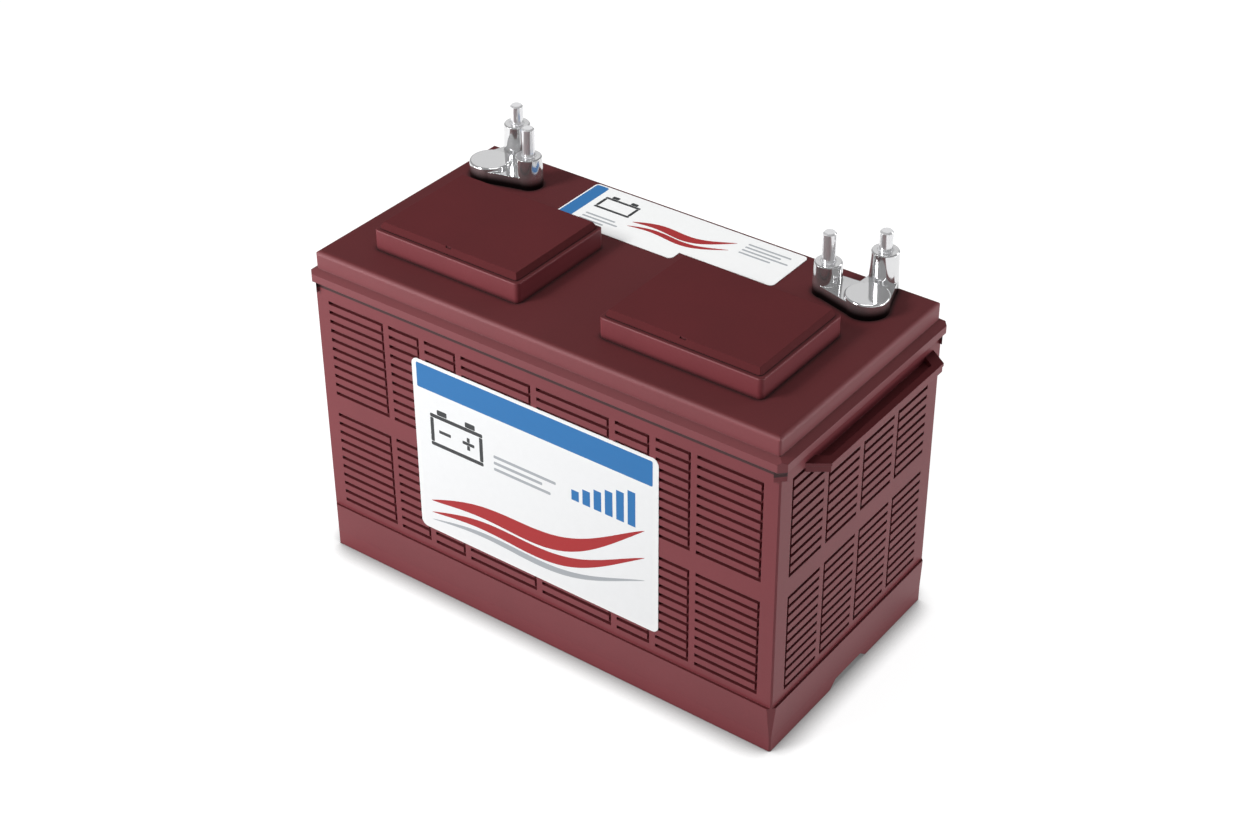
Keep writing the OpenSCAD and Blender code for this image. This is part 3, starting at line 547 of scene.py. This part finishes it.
def make_floor():
    """A pale floor that is white to the eye and in reflections, and keeps the object's shadow. Its glow is
    dimmed close to the object's foot as well, a painted contact shadow, so the shade is darkest there."""
    mesh = bpy.data.meshes.new("floor")
    corners = [(-1, -1), (1, -1), (1, 1), (-1, 1)]
    points = [(x * FLOOR_HALF, y * FLOOR_HALF, -FLOOR_DROP) for x, y in corners]
    mesh.from_pydata(points, [], [(0, 1, 2, 3)])
    material, tree, output = new_material("pale_floor")
    rays = add(tree, "ShaderNodeLightPath").outputs
    seen = add(tree, "ShaderNodeMath", {0: rays["Is Camera Ray"], 1: rays["Is Glossy Ray"]},
               operation="MAXIMUM")
    seen = add(tree, "ShaderNodeMath", {0: seen.outputs[0], 1: rays["Is Transmission Ray"]},
               operation="MAXIMUM")
    # Painted contact shadow: the floor's glow is dimmed close to the object
    shelter = add(tree, "ShaderNodeAmbientOcclusion", {"Distance": FLOOR_SHADE_REACH}, samples=16)
    painted_occlusion_shade = add(tree, "ShaderNodeMapRange", {
        "Value": shelter.outputs["AO"], "From Min": FLOOR_SHELTER[0], "From Max": FLOOR_SHELTER[1],
        "To Min": FLOOR_GLOW[0], "To Max": FLOOR_GLOW[1]})
    strength = add(tree, "ShaderNodeMath", {0: seen.outputs[0], 1: painted_occlusion_shade.outputs["Result"]},
                   operation="MULTIPLY")
    glow = add(tree, "ShaderNodeEmission", {"Color": linear(WHITE), "Strength": strength.outputs[0]})
    matt = add(tree, "ShaderNodeBsdfDiffuse", {"Color": linear(FLOOR_COLOUR)})
    both = add(tree, "ShaderNodeAddShader", {0: glow.outputs[0], 1: matt.outputs[0]})
    tree.links.new(both.outputs[0], output.inputs["Surface"])
    mesh.materials.append(material)
    link(bpy.data.objects.new("floor", mesh))


def make_world():
    """A soft grey surround, a little brighter near the horizon than overhead."""
    world = bpy.data.worlds.new("surround")
    world.use_nodes = True
    tree = world.node_tree
    tree.nodes.clear()
    way = add(tree, "ShaderNodeTexCoord").outputs["Generated"]
    height = add(tree, "ShaderNodeSeparateXYZ", {0: way})
    level = add(tree, "ShaderNodeMapRange", {
        "Value": height.outputs["Z"], "From Min": SKY_HEIGHT[0], "From Max": SKY_HEIGHT[1],
        "To Min": SKY_LEVEL[0], "To Max": SKY_LEVEL[1]}, interpolation_type="SMOOTHSTEP")
    sky = add(tree, "ShaderNodeBackground", {"Color": linear(WHITE), "Strength": level.outputs["Result"]})
    output = add(tree, "ShaderNodeOutputWorld")
    tree.links.new(sky.outputs[0], output.inputs["Surface"])
    bpy.context.scene.world = world


def soft_light(name, place, target, width, height, watts):
    """A large soft panel that faces the target."""
    lamp = bpy.data.lights.new(name, "AREA")
    lamp.shape = "RECTANGLE"
    lamp.size = width
    lamp.size_y = height
    lamp.energy = watts
    obj = link(bpy.data.objects.new(name, lamp))
    obj.location = place
    obj.rotation_euler = (Vector(target) - Vector(place)).to_track_quat("-Z", "Y").to_euler()


make_floor()
make_world()
for lamp_row in LAMPS:
    soft_light(*lamp_row)


# Camera, at the photograph's viewing angle

IMAGE_W, IMAGE_H = 1260, 840
SENSOR_W = 36.0
FOCAL_PX = 2210.64
PRINCIPAL = (645.89, 349.05)
CAMERA_PLACE = (0.6570, -0.8835, 0.8806)
CAMERA_WAY = (-0.49230, 0.67954, -0.54394)
camera_data = bpy.data.cameras.new("camera")
camera_data.sensor_width = SENSOR_W
camera_data.lens = SENSOR_W * FOCAL_PX / IMAGE_W
camera_data.shift_x = (IMAGE_W / 2 - PRINCIPAL[0]) / IMAGE_W
camera_data.shift_y = (PRINCIPAL[1] - IMAGE_H / 2) / IMAGE_W
camera = link(bpy.data.objects.new("camera", camera_data))
camera.location = CAMERA_PLACE
camera.rotation_euler = Vector(CAMERA_WAY).to_track_quat("-Z", "Y").to_euler()
bpy.context.scene.camera = camera
bpy.context.scene.view_settings.view_transform = "Standard"
